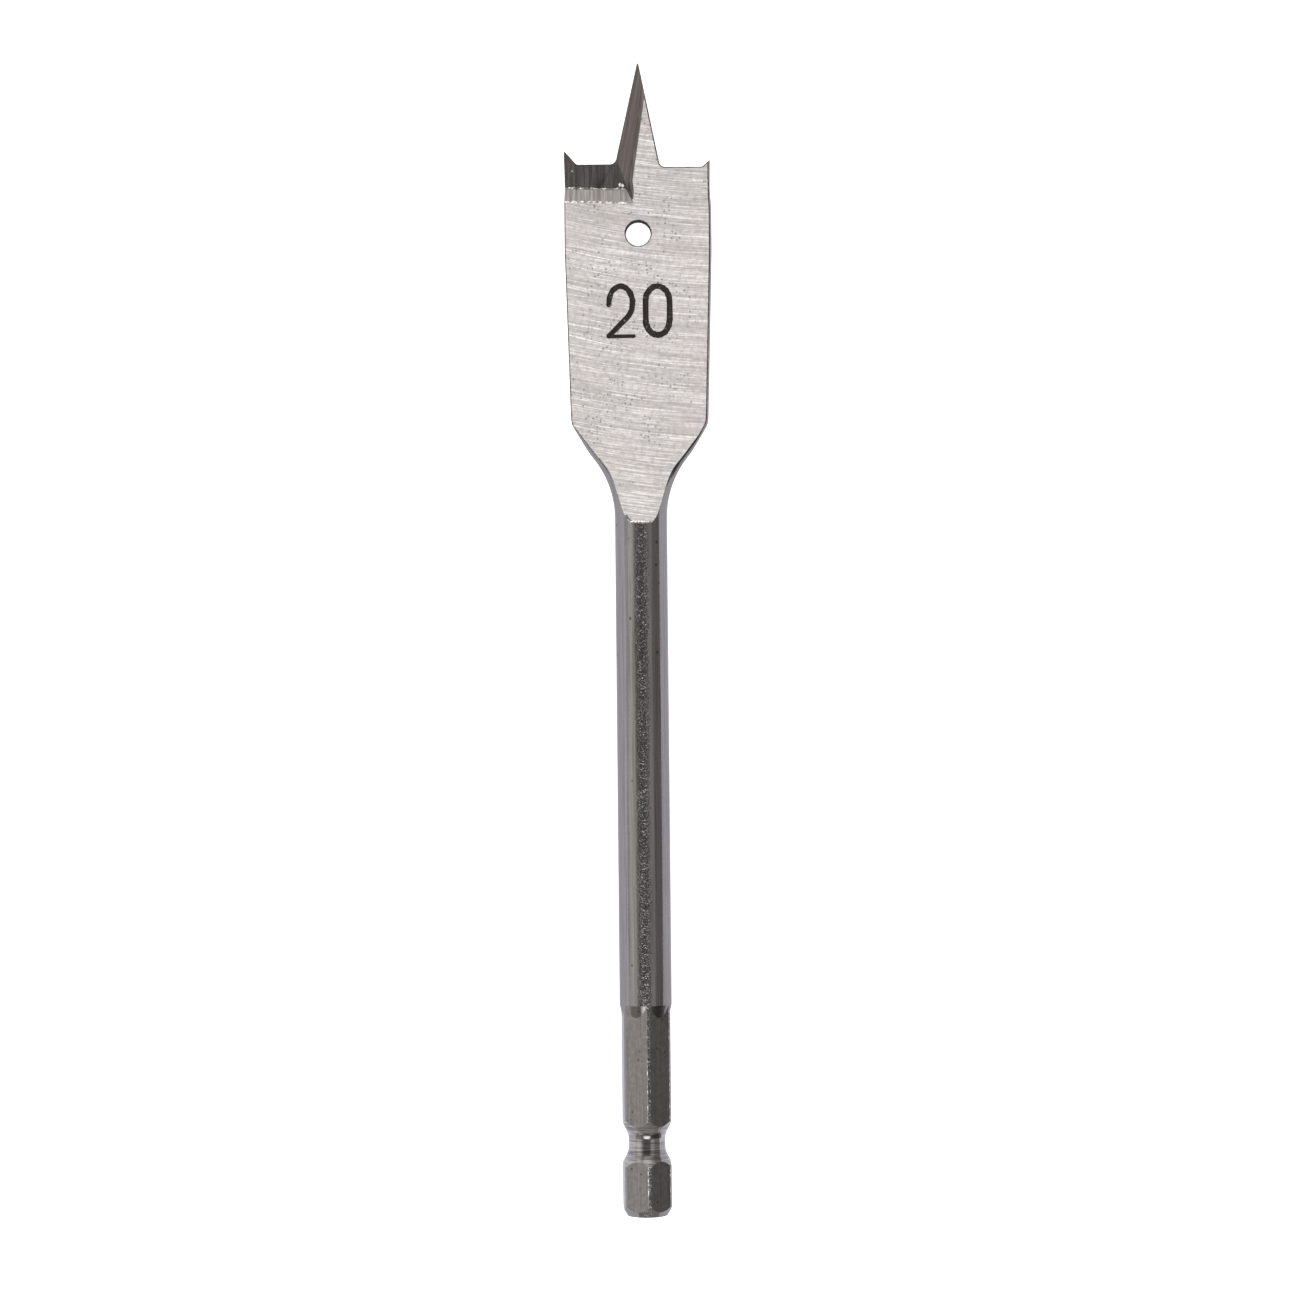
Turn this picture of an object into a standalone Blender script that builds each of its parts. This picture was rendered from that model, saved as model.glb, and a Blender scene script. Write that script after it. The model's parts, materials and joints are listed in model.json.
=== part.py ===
"""Spade bit for boring 20 mm holes in wood, on a quarter-inch hex shank.

The bit is one piece of steel. A round bar is turned at its shank and flattened in a die at its blade,
and the rest is milled or ground from it. So the script lofts one blank and gives it one cutter for
each operation, in the order of the work.

The bit's axis is Y: the shank's end face is at the origin, and the spike points along +Y. While it is
made, the blade's faces look along +Z and -Z. What is ground into the left half of the front is ground
into the other half of the back too, half a turn round the axis. Last, the bit is laid down as it comes
to rest, rolled round its axis until the blade's left edge is level with the underside of the shaft.
Lengths are in metres.
"""

from math import acos, asin, atan2, cos, hypot, pi, radians, sin, tan

import bmesh
import bpy
from mathutils import Matrix, Vector

# The bar
OVERALL_LENGTH = 0.1563
SHAFT_DIAMETER = 0.0071

# The shank: a hex with a turned chamfer and detent groove
HEX_ACROSS_FLATS = 0.00635
HEX_LENGTH = 0.0270
HEX_RUN_OUT = 0.00165
HEX_TURN = radians(6)
HEX_LAND_INSET = 0.00001
END_FACE_DIAMETER = 0.0055
END_CHAMFER_LENGTH = 0.00136
GROOVE_CENTRE = 0.0099
GROOVE_DIAMETER = 0.0050
GROOVE_BOTTOM_LENGTH = 0.0009
GROOVE_FILLET = 0.0025
GROOVE_FLANK_ANGLE = radians(28)

# The forged blade
FORGED_THICKNESS = 0.0030
FLATTENING_LENGTH = 0.0070
SHOULDER_ANGLE = radians(37.3)
SHOULDER_FILLET = 0.013
SIDE_ALLOWANCE = 0.0011

# The ground faces and sides
BLADE_WIDTH = 0.020
BLADE_THICKNESS = 0.0026
BLADE_LENGTH = 0.0357
FACE_WHEEL_RADIUS = 0.025
FACE_FLAT_SHORTFALL = 0.0032
FACE_END_STEP = 0.0004
FACE_END_ANGLE = radians(60)
SIDE_PARALLEL_LENGTH = 0.01135
SIDE_TAPER = radians(1.6)
SIDE_RELIEF = radians(6)
SIDE_ROLL_RADIUS = 0.003
SIDE_ROLL_ANGLE = radians(30)
SIDE_ROLL_START = 0.0016
HOLE_DIAMETER = 0.0034
HOLE_BELOW_LIPS = 0.00915

# The lips, the spurs and the spike
LIP_RELIEF = radians(11.5)
LIP_SAG = 0.00012
LIP_SAG_RADIUS = 0.015
SPIKE_LENGTH = 0.01395
SPIKE_HALF_ANGLE = radians(12)
SPIKE_TIP_WIDTH = 0.0003
SPIKE_RELIEF = radians(2.5)
SPIKE_FILLET = 0.0009
SPUR_FILLET = 0.0005
FRONT_SPUR_HEIGHT = 0.00170
FRONT_SPUR_ANGLE = radians(48)
FRONT_SPUR_INSET = 0.0
BACK_SPUR_HEIGHT = 0.0009
BACK_SPUR_ANGLE = radians(42)
BACK_SPUR_INSET = 0.0002
SPUR_INSET_LENGTH = 0.0040
SPUR_INSET_BLEND = 0.0014

# The notch ground in front of each lip, and the gash beside the spike
NOTCH_DEPTH_AT_LIP = 0.00040
NOTCH_DEPTH = 0.00095
NOTCH_FLOOR_LENGTH = 0.00285
NOTCH_WALL_LENGTH = 0.0020
NOTCH_SKEW = radians(1.5)
NOTCH_END_FROM_AXIS = 0.00064
NOTCH_END_ANGLE = radians(17.8)
NOTCH_END_LEAN = radians(12)
GASH_DEPTH = 0.00085
GASH_ANGLE = radians(8.6)
GASH_FACET_ANGLE = radians(17)
GASH_WALL_ANGLE = radians(60)
GASH_ON_AXIS_ABOVE_LIPS = 0.0058
GASH_STRAIGHT_FROM = 0.00265
GASH_WHEEL_RADIUS = 0.015

# How finely round forms are divided
BAR_SIDES = 36
FILLET_STEPS = 16
CORNER_STEPS = 5
WHEEL_STEPS = 20
HOLE_SIDES = 48

# How far a cutter runs past what it cuts
CLEAR = 0.003

# Stations along the axis, and sizes that follow from the ones above
SHAFT_RADIUS = SHAFT_DIAMETER / 2
LIP = OVERALL_LENGTH - SPIKE_LENGTH
SHOULDER_CORNER = LIP - BLADE_LENGTH
TAPER_START = LIP - SIDE_PARALLEL_LENGTH
FRONT = BLADE_THICKNESS / 2
CORNER_HALF_WIDTH = BLADE_WIDTH / 2 - (TAPER_START - SHOULDER_CORNER) * tan(SIDE_TAPER)
CUTTER_TOP = OVERALL_LENGTH + CLEAR
CUTTER_SIDE = BLADE_WIDTH / 2 + SIDE_ALLOWANCE + CLEAR
BACK_EDGE = BLADE_WIDTH / 2 - BLADE_THICKNESS * tan(SIDE_RELIEF)
REST_ROLL = asin(SHAFT_RADIUS / hypot(BACK_EDGE, FRONT)) - atan2(FRONT, BACK_EDGE)


def loft(name, rings):
    """A solid through rings of equally many points, closed by a flat face on the first and last."""
    mesh = bmesh.new()
    loops = []
    for ring in rings:
        points = [mesh.verts.new(point) for point in ring]
        loops.append([mesh.edges.new((points[i - 1], points[i])) for i in range(len(points))])
    for loop, following in zip(loops, loops[1:]):
        bmesh.ops.bridge_loops(mesh, edges=loop + following)
    for end in (loops[0], loops[-1]):
        bmesh.ops.contextual_create(mesh, geom=end)
    bmesh.ops.recalc_face_normals(mesh, faces=mesh.faces)
    data = bpy.data.meshes.new(name)
    mesh.to_mesh(data)
    mesh.free()
    thing = bpy.data.objects.new(name, data)
    bpy.context.collection.objects.link(thing)
    return thing


def cut(body, cutter):
    """Takes the cutter away from the body, and keeps the cutter as a hidden wire guide."""
    cutter.hide_render = True
    cutter.display_type = "WIRE"
    boolean = body.modifiers.new(cutter.name, "BOOLEAN")
    boolean.operation = "DIFFERENCE"
    boolean.solver = "EXACT"
    boolean.object = cutter


def half_turn(cutter):
    """The same cutter half a turn round the bit's axis."""
    cutter.data.transform(Matrix.Rotation(pi, 4, "Y"))
    return cutter


def rounded(corners):
    """A plan outline through corners (x, y, radius), each radius above zero drawn as a tangent arc."""
    outline = []
    for i, (x, y, radius) in enumerate(corners):
        corner = Vector((x, y))
        if radius == 0:
            outline.append(corner)
            continue
        back = (Vector(corners[i - 1][:2]) - corner).normalized()
        on = (Vector(corners[(i + 1) % len(corners)][:2]) - corner).normalized()
        half = back.angle(on) / 2
        centre = corner + (back + on).normalized() * radius / sin(half)
        first = corner + back * radius / tan(half) - centre
        last = corner + on * radius / tan(half) - centre
        turn = atan2(first.x * last.y - first.y * last.x, first.dot(last))
        for step in range(CORNER_STEPS + 1):
            outline.append(centre + Matrix.Rotation(turn * step / CORNER_STEPS, 2) @ first)
    return outline


def plan_cutter(name, outline_behind):
    """A cutter right through the blade, from the plan outline at each distance behind the front face."""
    rings = []
    for z in (FRONT + CLEAR, -FRONT - CLEAR):
        rings.append([(x, y, z) for x, y in outline_behind(FRONT - z)])
    return loft(name, rings)


def bar_ring(y, half_width, half_height):
    """A section of the bar: two half circles, moved apart where the bar is wider than it is high."""
    ring = []
    for side in (1, -1):
        for step in range(BAR_SIDES // 2):
            angle = ((step + 0.5) / (BAR_SIDES // 2) - 0.5) * pi
            x = half_width - half_height + half_height * cos(angle)
            ring.append((side * x, y, side * half_height * sin(angle)))
    return ring


def turned_shank():
    """Sections of the turned shank: its end chamfer, then the detent groove with its round bottom."""
    groove_radius = GROOVE_DIAMETER / 2
    flank_radius = groove_radius + GROOVE_FILLET * (1 - cos(GROOVE_FLANK_ANGLE))
    flank_length = (SHAFT_RADIUS - flank_radius) / tan(GROOVE_FLANK_ANGLE)
    half_groove = []
    for step in range(CORNER_STEPS + 1):
        angle = GROOVE_FLANK_ANGLE * step / CORNER_STEPS
        away = GROOVE_BOTTOM_LENGTH / 2 + GROOVE_FILLET * sin(angle)
        half_groove.append((away, groove_radius + GROOVE_FILLET * (1 - cos(angle))))
    half_groove.append((half_groove[-1][0] + flank_length, SHAFT_RADIUS))
    profile = [(0.0, END_FACE_DIAMETER / 2), (END_CHAMFER_LENGTH, SHAFT_RADIUS)]
    profile += [(GROOVE_CENTRE - away, radius) for away, radius in reversed(half_groove)]
    profile += [(GROOVE_CENTRE + away, radius) for away, radius in half_groove]
    return [bar_ring(y, radius, radius) for y, radius in profile]


def forged_blade():
    """Sections of the forging: the bar flares through a fillet into the shoulders as it is flattened."""
    fillet_length = SHOULDER_FILLET * sin(SHOULDER_ANGLE)
    fillet_rise = SHOULDER_FILLET * (1 - cos(SHOULDER_ANGLE))
    slope = tan(SHOULDER_ANGLE)
    slope_start = SHOULDER_CORNER - (CORNER_HALF_WIDTH - SHAFT_RADIUS - fillet_rise) / slope
    flare_start = slope_start - fillet_length
    outline = []
    for step in range(FILLET_STEPS + 1):
        angle = SHOULDER_ANGLE * step / FILLET_STEPS
        rise = SHOULDER_FILLET * (1 - cos(angle))
        outline.append((flare_start + SHOULDER_FILLET * sin(angle), SHAFT_RADIUS + rise))
    full_half_width = BLADE_WIDTH / 2 + SIDE_ALLOWANCE
    shoulder_end = slope_start + (full_half_width - outline[-1][1]) / slope
    outline += [(shoulder_end, full_half_width), (OVERALL_LENGTH, full_half_width)]
    rings = []
    for y, half_width in outline:
        done = min((y - flare_start) / FLATTENING_LENGTH, 1.0)
        flattened = done * done * (3 - 2 * done)
        half_height = SHAFT_RADIUS + flattened * (FORGED_THICKNESS / 2 - SHAFT_RADIUS)
        rings.append(bar_ring(y, half_width, half_height))
    return rings


def hex_cutter():
    """All that lies outside the hex, up to the cone where the flats run out into the round shaft."""
    flat = HEX_ACROSS_FLATS / 2
    land = SHAFT_RADIUS - HEX_LAND_INSET
    half_land = (flat - land * cos(pi / 6)) / sin(pi / 6)
    outer_radius = SHAFT_RADIUS + CLEAR
    inner_radius = flat - CLEAR
    cone_slope = (SHAFT_RADIUS - flat) / HEX_RUN_OUT
    outer_y = HEX_LENGTH + (outer_radius - flat) / cone_slope
    inner_y = HEX_LENGTH + (inner_radius - flat) / cone_slope
    sleeve = loft(
        "cut_hex",
        [
            bar_ring(-CLEAR, outer_radius, outer_radius),
            bar_ring(outer_y, outer_radius, outer_radius),
            bar_ring(inner_y, inner_radius, inner_radius),
        ],
    )
    corner_radius = hypot(half_land, land)
    corners = []
    for corner in range(6):
        for side in (-1, 1):
            angle = HEX_TURN + corner * pi / 3 + side * atan2(half_land, land)
            corners.append((corner_radius * sin(angle), corner_radius * cos(angle)))
    ends = (-2 * CLEAR, outer_y + CLEAR)
    cut(sleeve, loft("guide_hex_bar", [[(x, y, z) for x, z in corners] for y in ends]))
    return sleeve


def face_cutter(name):
    """The face wheel's path: flat along the blade, then its own arc up into the shaft, and its edge."""
    flat_end = SHOULDER_CORNER - FACE_FLAT_SHORTFALL
    rise = SHAFT_RADIUS - FACE_END_STEP - FRONT
    arc_end_angle = acos(1 - rise / FACE_WHEEL_RADIUS)
    top = SHAFT_RADIUS + CLEAR
    path = [(CUTTER_TOP, FRONT)]
    for step in range(WHEEL_STEPS + 1):
        angle = arc_end_angle * step / WHEEL_STEPS
        y = flat_end - FACE_WHEEL_RADIUS * sin(angle)
        path.append((y, FRONT + FACE_WHEEL_RADIUS * (1 - cos(angle))))
    end_y, end_z = path[-1]
    path += [(end_y - (top - end_z) / tan(FACE_END_ANGLE), top), (CUTTER_TOP, top)]
    return loft(name, [[(x, y, z) for y, z in path] for x in (-CUTTER_SIDE, CUTTER_SIDE)])


def side_cutter(name, spur_inset):
    """The ground left side: parallel at the top, tapered below, and rolled off into the shoulder."""

    def outline(behind):
        half = BLADE_WIDTH / 2 - behind * tan(SIDE_RELIEF)
        inset_end = LIP - SPUR_INSET_LENGTH
        roll_start = SHOULDER_CORNER + SIDE_ROLL_START
        points = [(half - spur_inset, CUTTER_TOP), (half - spur_inset, inset_end)]
        points += [(half, inset_end - SPUR_INSET_BLEND), (half, TAPER_START)]
        half -= (TAPER_START - roll_start) * tan(SIDE_TAPER)
        for step in range(CORNER_STEPS + 1):
            angle = SIDE_TAPER + (SIDE_ROLL_ANGLE - SIDE_TAPER) * step / CORNER_STEPS
            x = half - SIDE_ROLL_RADIUS * (cos(SIDE_TAPER) - cos(angle))
            points.append((x, roll_start - SIDE_ROLL_RADIUS * (sin(angle) - sin(SIDE_TAPER))))
        leave = SIDE_ALLOWANCE + CLEAR
        x, y = points[-1]
        points.append((x - leave * sin(SIDE_ROLL_ANGLE), y - leave * cos(SIDE_ROLL_ANGLE)))
        points += [(CUTTER_SIDE, points[-1][1]), (CUTTER_SIDE, CUTTER_TOP)]
        return [(-x, y) for x, y in points]

    return plan_cutter(name, outline)


def end_cutter(name, spur_height, spur_angle, spur_inset):
    """The ground left half of the end: the spur's slope, the lip and the spike's edge, all relieved."""
    apex = OVERALL_LENGTH + SPIKE_TIP_WIDTH / 2 / tan(SPIKE_HALF_ANGLE)
    spur_x = BLADE_WIDTH / 2 - spur_inset
    foot_x = spur_x - spur_height / tan(spur_angle)

    def outline(behind):
        lip = LIP - behind * tan(LIP_RELIEF)
        relief = behind * tan(SPIKE_RELIEF)
        spike_x = (apex - lip) * tan(SPIKE_HALF_ANGLE) - relief
        corners = [
            (CUTTER_SIDE, lip + (CUTTER_SIDE - foot_x) * tan(spur_angle), 0),
            (foot_x, lip, SPUR_FILLET),
            ((foot_x + spike_x) / 2, lip - LIP_SAG, LIP_SAG_RADIUS),
            (spike_x, lip, SPIKE_FILLET),
            (0, apex - relief / tan(SPIKE_HALF_ANGLE), 0),
            (0, CUTTER_TOP + CUTTER_SIDE, 0),
            (CUTTER_SIDE, CUTTER_TOP + CUTTER_SIDE, 0),
        ]
        return [(-x, y) for x, y in rounded(corners)]

    return plan_cutter(name, outline)


def notch_cutter(name):
    """The V notch ground in front of the lip, closed by a leaning wall beside the spike."""
    bottom_y = LIP - NOTCH_FLOOR_LENGTH
    bottom_z = FRONT - NOTCH_DEPTH
    wall_foot = bottom_y - NOTCH_WALL_LENGTH
    floor_slope = (NOTCH_DEPTH - NOTCH_DEPTH_AT_LIP) / NOTCH_FLOOR_LENGTH
    top = FRONT + CLEAR
    floor_end = LIP + FRONT_SPUR_HEIGHT + CLEAR
    section = [
        (bottom_y, bottom_z),
        (floor_end, bottom_z + floor_slope * (floor_end - bottom_y)),
        (floor_end, top),
        (bottom_y - NOTCH_WALL_LENGTH * (top - bottom_z) / NOTCH_DEPTH, top),
    ]
    outer, inner = [], []
    for y, z in section:
        x = -NOTCH_END_FROM_AXIS - (y - wall_foot) * tan(NOTCH_END_ANGLE)
        x += (z - FRONT) * tan(NOTCH_END_LEAN)
        inner.append((x, y + x * tan(NOTCH_SKEW), z))
        outer.append((-CUTTER_SIDE, y - (CUTTER_SIDE - BLADE_WIDTH / 2) * tan(NOTCH_SKEW), z))
    return loft(name, [outer, inner])


def gash_cutter(name):
    """The gash of a wheel fed along the spike: a facet falling from the left edge to a steep wall."""
    along = Vector((sin(GASH_ANGLE), cos(GASH_ANGLE), 0))
    across = Vector((-cos(GASH_ANGLE), sin(GASH_ANGLE), 0))
    up = Vector((0, 0, 1))
    on_axis = Vector((0, LIP + GASH_ON_AXIS_ABOVE_LIPS, FRONT - GASH_DEPTH))
    straight_from = (LIP + GASH_STRAIGHT_FROM - on_axis.y) / along.y
    facet_width = BLADE_WIDTH / 2
    height = facet_width * tan(GASH_FACET_ANGLE)
    facet_top = across * facet_width + up * height
    wall_top = up * height - across * height / tan(GASH_WALL_ANGLE)
    leave_angle = acos(1 - (GASH_DEPTH + CLEAR) / GASH_WHEEL_RADIUS)
    bottoms = [on_axis + along * (CUTTER_TOP - on_axis.y) / along.y]
    for step in range(WHEEL_STEPS + 1):
        angle = leave_angle * step / WHEEL_STEPS
        bottom = on_axis + along * (straight_from - GASH_WHEEL_RADIUS * sin(angle))
        bottoms.append(bottom + up * GASH_WHEEL_RADIUS * (1 - cos(angle)))
    return loft(name, [[bottom, bottom + facet_top, bottom + wall_top] for bottom in bottoms])


def hole_cutter(name):
    """The drilled hanging hole."""
    ring = []
    for step in range(HOLE_SIDES):
        angle = 2 * pi * step / HOLE_SIDES
        x = HOLE_DIAMETER / 2 * cos(angle)
        ring.append((x, LIP - HOLE_BELOW_LIPS + HOLE_DIAMETER / 2 * sin(angle)))
    return loft(name, [[(x, y, z) for x, y in ring] for z in (-FRONT - CLEAR, FRONT + CLEAR)])


def steel():
    """Bare ground steel."""
    material = bpy.data.materials.new("steel")
    material.use_nodes = True
    shader = material.node_tree.nodes["Principled BSDF"]
    shader.inputs["Base Color"].default_value = (0.45, 0.43, 0.42, 1.0)
    shader.inputs["Metallic"].default_value = 1.0
    shader.inputs["Roughness"].default_value = 0.35
    return material


for old in list(bpy.data.objects):
    bpy.data.objects.remove(old)

bit = loft("spade_bit", turned_shank() + forged_blade())
bit.data.materials.append(steel())
bit.data.shade_smooth()
bit.data.set_sharp_from_angle(angle=radians(20))

cut(bit, hex_cutter())
cut(bit, face_cutter("cut_front_face"))
cut(bit, half_turn(face_cutter("cut_back_face")))
cut(bit, side_cutter("cut_front_side", FRONT_SPUR_INSET))
cut(bit, half_turn(side_cutter("cut_back_side", BACK_SPUR_INSET)))
cut(bit, end_cutter("cut_front_end", FRONT_SPUR_HEIGHT, FRONT_SPUR_ANGLE, FRONT_SPUR_INSET))
cut(bit, half_turn(end_cutter("cut_back_end", BACK_SPUR_HEIGHT, BACK_SPUR_ANGLE, BACK_SPUR_INSET)))
cut(bit, notch_cutter("cut_front_notch"))
cut(bit, half_turn(notch_cutter("cut_back_notch")))
cut(bit, gash_cutter("cut_front_gash"))
cut(bit, half_turn(gash_cutter("cut_back_gash")))
cut(bit, hole_cutter("cut_hanging_hole"))

for thing in bpy.data.objects:
    thing.data.transform(Matrix.Rotation(-REST_ROLL, 4, "Y"))
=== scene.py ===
"""The looks of a 20 mm spade bit: one steel bar, turned, milled, forged and ground, lying at rest.

The bit is modelled straight, with its blade's face up, and rolled into its resting pose at the end. Its
axis is Y, from the shank's end at the origin to the spike. Lengths are in metres.
"""

import json
from math import acos, atan2, cos, pi, radians, sin, tan

import bmesh
import bpy
from mathutils import Matrix, Vector

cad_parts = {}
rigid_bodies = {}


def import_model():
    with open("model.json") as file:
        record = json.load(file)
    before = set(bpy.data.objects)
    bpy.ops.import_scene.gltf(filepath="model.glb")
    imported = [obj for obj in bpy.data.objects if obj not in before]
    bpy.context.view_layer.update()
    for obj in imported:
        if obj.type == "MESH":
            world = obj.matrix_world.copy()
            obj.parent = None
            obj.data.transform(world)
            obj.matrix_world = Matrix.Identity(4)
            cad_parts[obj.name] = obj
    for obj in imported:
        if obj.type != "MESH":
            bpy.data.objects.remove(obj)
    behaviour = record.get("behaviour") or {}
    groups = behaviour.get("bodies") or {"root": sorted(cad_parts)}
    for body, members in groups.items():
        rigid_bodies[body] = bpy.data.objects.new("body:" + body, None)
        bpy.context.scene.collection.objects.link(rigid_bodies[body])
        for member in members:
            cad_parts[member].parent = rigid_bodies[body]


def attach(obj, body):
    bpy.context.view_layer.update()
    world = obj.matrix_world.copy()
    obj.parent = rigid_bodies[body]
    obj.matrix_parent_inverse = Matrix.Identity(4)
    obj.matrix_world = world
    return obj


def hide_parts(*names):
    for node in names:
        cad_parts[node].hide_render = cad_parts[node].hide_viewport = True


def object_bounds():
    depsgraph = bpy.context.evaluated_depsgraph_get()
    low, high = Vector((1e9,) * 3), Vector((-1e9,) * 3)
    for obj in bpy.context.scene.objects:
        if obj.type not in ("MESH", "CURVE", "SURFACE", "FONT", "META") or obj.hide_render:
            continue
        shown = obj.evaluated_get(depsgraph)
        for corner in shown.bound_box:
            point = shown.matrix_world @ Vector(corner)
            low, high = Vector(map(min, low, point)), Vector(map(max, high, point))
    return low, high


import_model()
cad_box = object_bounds()

# The drawn bar and its turned shank
# The bit starts as a length of cold-drawn tool steel, dark and smooth, with fine lines along it and small
# pits. Its end is chamfered on a lathe, and a groove with a round bottom is turned for the chuck's ball.
SHAFT_RADIUS = 0.00355
END_FACE_RADIUS = 0.00275
END_CHAMFER_LENGTH = 0.00136
GROOVE_CENTRE = 0.0099
GROOVE_RADIUS = 0.0025
GROOVE_BOTTOM_LENGTH = 0.0009
GROOVE_FILLET = 0.0025
GROOVE_FLANK_ANGLE = radians(28)
GROOVE_STEPS = 8
BAR_SIDES = 160
REST_ROLL = radians(13.5955)
SKIN_COLOUR = (0.238, 0.230, 0.227, 1.0)
SKIN_DARK = (0.14, 0.134, 0.13, 1.0)
GLINT_COLOUR = (0.85, 0.83, 0.81, 1.0)
PIT_COLOUR = (0.035, 0.032, 0.030, 1.0)
GRAZING_TINT = (0.75, 0.75, 0.78, 1.0)
TOP_STRIP_PLACE = 0.00005
TOP_STRIP_WIDTH = 0.00075
TURNED_COLOUR = (0.38, 0.365, 0.36, 1.0)
TURNED_DARK = (0.15, 0.14, 0.135, 1.0)


def add(tree, kind, inputs=None, **settings):
    """Adds a node with its settings, and with each input linked to a socket or set to a value."""
    new = tree.nodes.new(kind)
    for name, value in settings.items():
        setattr(new, name, value)
    for name, value in (inputs or {}).items():
        if isinstance(value, bpy.types.NodeSocket):
            tree.links.new(value, new.inputs[name])
        else:
            new.inputs[name].default_value = value
    return new


def math(tree, operation, first, second=0.0):
    """One step of arithmetic on values."""
    return add(tree, "ShaderNodeMath", {0: first, 1: second}, operation=operation).outputs[0]


def blend(tree, factor, first, second):
    """The first colour where the factor is 0 and the second where it is 1."""
    mix = add(tree, "ShaderNodeMix", data_type="RGBA")
    for index, value in ((0, factor), (6, first), (7, second)):
        if isinstance(value, bpy.types.NodeSocket):
            tree.links.new(value, mix.inputs[index])
        else:
            mix.inputs[index].default_value = value
    return mix.outputs[2]


def fade(tree, value, start, end, low=0.0, high=1.0):
    """Goes from low to high as a value goes from start to end, and stays there beyond them."""
    inputs = {"Value": value, "From Min": start, "From Max": end, "To Min": low, "To Max": high}
    return add(tree, "ShaderNodeMapRange", inputs).outputs[0]


def noise(tree, vector, scale, **settings):
    """Smooth noise, with so many grains to a metre."""
    return add(tree, "ShaderNodeTexNoise", {"Vector": vector, "Scale": scale, **settings}).outputs["Fac"]


def rotated(tree, vector, y=0.0, z=0.0):
    """Coordinates turned about the Y or Z axis."""
    return add(tree, "ShaderNodeMapping", {"Vector": vector, "Rotation": (0, y, z)}).outputs[0]


def emboss(tree, shader, height, strength, distance):
    """Gives a finish its small heights and hollows."""
    bump = add(tree, "ShaderNodeBump", {"Height": height, "Strength": strength, "Distance": distance})
    tree.links.new(bump.outputs[0], shader.inputs["Normal"])


def new_finish(name, metallic):
    """A steel finish, with the coordinates of the bit as it was before it was laid down."""
    material = bpy.data.materials.new(name)
    material.use_nodes = True
    tree = material.node_tree
    shader = tree.nodes["Principled BSDF"]
    shader.inputs["Metallic"].default_value = metallic
    place = add(tree, "ShaderNodeTexCoord").outputs["Object"]
    return material, tree, shader, rotated(tree, place, y=REST_ROLL)


def new_group(name, inputs, outputs):
    """An empty shader group with number inputs beside its Vector, and number outputs."""
    tree = bpy.data.node_groups.new(name, "ShaderNodeTree")
    tree.interface.new_socket("Vector", in_out="INPUT", socket_type="NodeSocketVector")
    for label, value in inputs.items():
        socket = tree.interface.new_socket(label, in_out="INPUT", socket_type="NodeSocketFloat")
        socket.default_value = value
    for label in outputs:
        tree.interface.new_socket(label, in_out="OUTPUT", socket_type="NodeSocketFloat")
    return tree, tree.nodes.new("NodeGroupInput"), tree.nodes.new("NodeGroupOutput")


def use(tree, group, vector, **inputs):
    """Places a shared group in a material with its own values, and returns its outputs."""
    node = add(tree, "ShaderNodeGroup", node_tree=group)
    tree.links.new(vector, node.inputs["Vector"])
    for label, value in inputs.items():
        node.inputs[label.replace("_", " ")].default_value = value
    return node.outputs


# Long scratches or drawing lines: noise drawn out one way, with a slope and a bow across the bit
lines, inside, outside = new_group(
    "lines",
    {"Per metre along": 60.0, "Per metre across": 4000.0, "Slope": 0.0, "Bow": 0.0, "Seed": 0.0},
    ["Value"],
)
across = add(lines, "ShaderNodeSeparateXYZ", {0: inside.outputs["Vector"]}).outputs
sloped = math(lines, "MULTIPLY", across["X"], inside.outputs["Slope"])
bowed = math(lines, "MULTIPLY", math(lines, "MULTIPLY", across["X"], across["X"]), inside.outputs["Bow"])
level = math(lines, "ADD", math(lines, "ADD", across["Y"], sloped), bowed)
drawn = add(
    lines,
    "ShaderNodeCombineXYZ",
    {
        "X": math(lines, "MULTIPLY", across["X"], inside.outputs["Per metre along"]),
        "Y": math(lines, "MULTIPLY", level, inside.outputs["Per metre across"]),
        "Z": inside.outputs["Seed"],
    },
)
grain = noise(lines, drawn.outputs[0], 1.0, Detail=3.0, Roughness=0.65)
lines.links.new(grain, outside.inputs["Value"])

# Pits: small round holes and dents, scattered and gathered in patches
pits, inside, outside = new_group(
    "pits", {"Per metre": 2500.0, "Size": 0.2, "Share": 0.5, "Seed": 0.0}, ["Mask"]
)
shifted = add(pits, "ShaderNodeVectorMath", {0: inside.outputs["Vector"]}, operation="ADD")
pits.links.new(inside.outputs["Seed"], shifted.inputs[1])
cells = add(
    pits, "ShaderNodeTexVoronoi", {"Vector": shifted.outputs[0], "Scale": inside.outputs["Per metre"]}
)
chance = add(pits, "ShaderNodeSeparateColor", {0: cells.outputs["Color"]})
chosen = math(pits, "LESS_THAN", chance.outputs["Red"], inside.outputs["Share"])
edge = fade(pits, cells.outputs["Distance"], 0.0, inside.outputs["Size"], low=1.0, high=0.0)
pits.links.new(math(pits, "MULTIPLY", edge, chosen), outside.inputs["Mask"])


def turned(tree, vector):
    """Coordinates with X along the bit, for lines that run its length."""
    parts = add(tree, "ShaderNodeSeparateXYZ", {0: vector}).outputs
    round_the_bar = math(tree, "MULTIPLY", math(tree, "ARCTAN2", parts["X"], parts["Z"]), SHAFT_RADIUS)
    return add(tree, "ShaderNodeCombineXYZ", {"X": parts["Y"], "Y": round_the_bar}).outputs[0]


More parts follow.
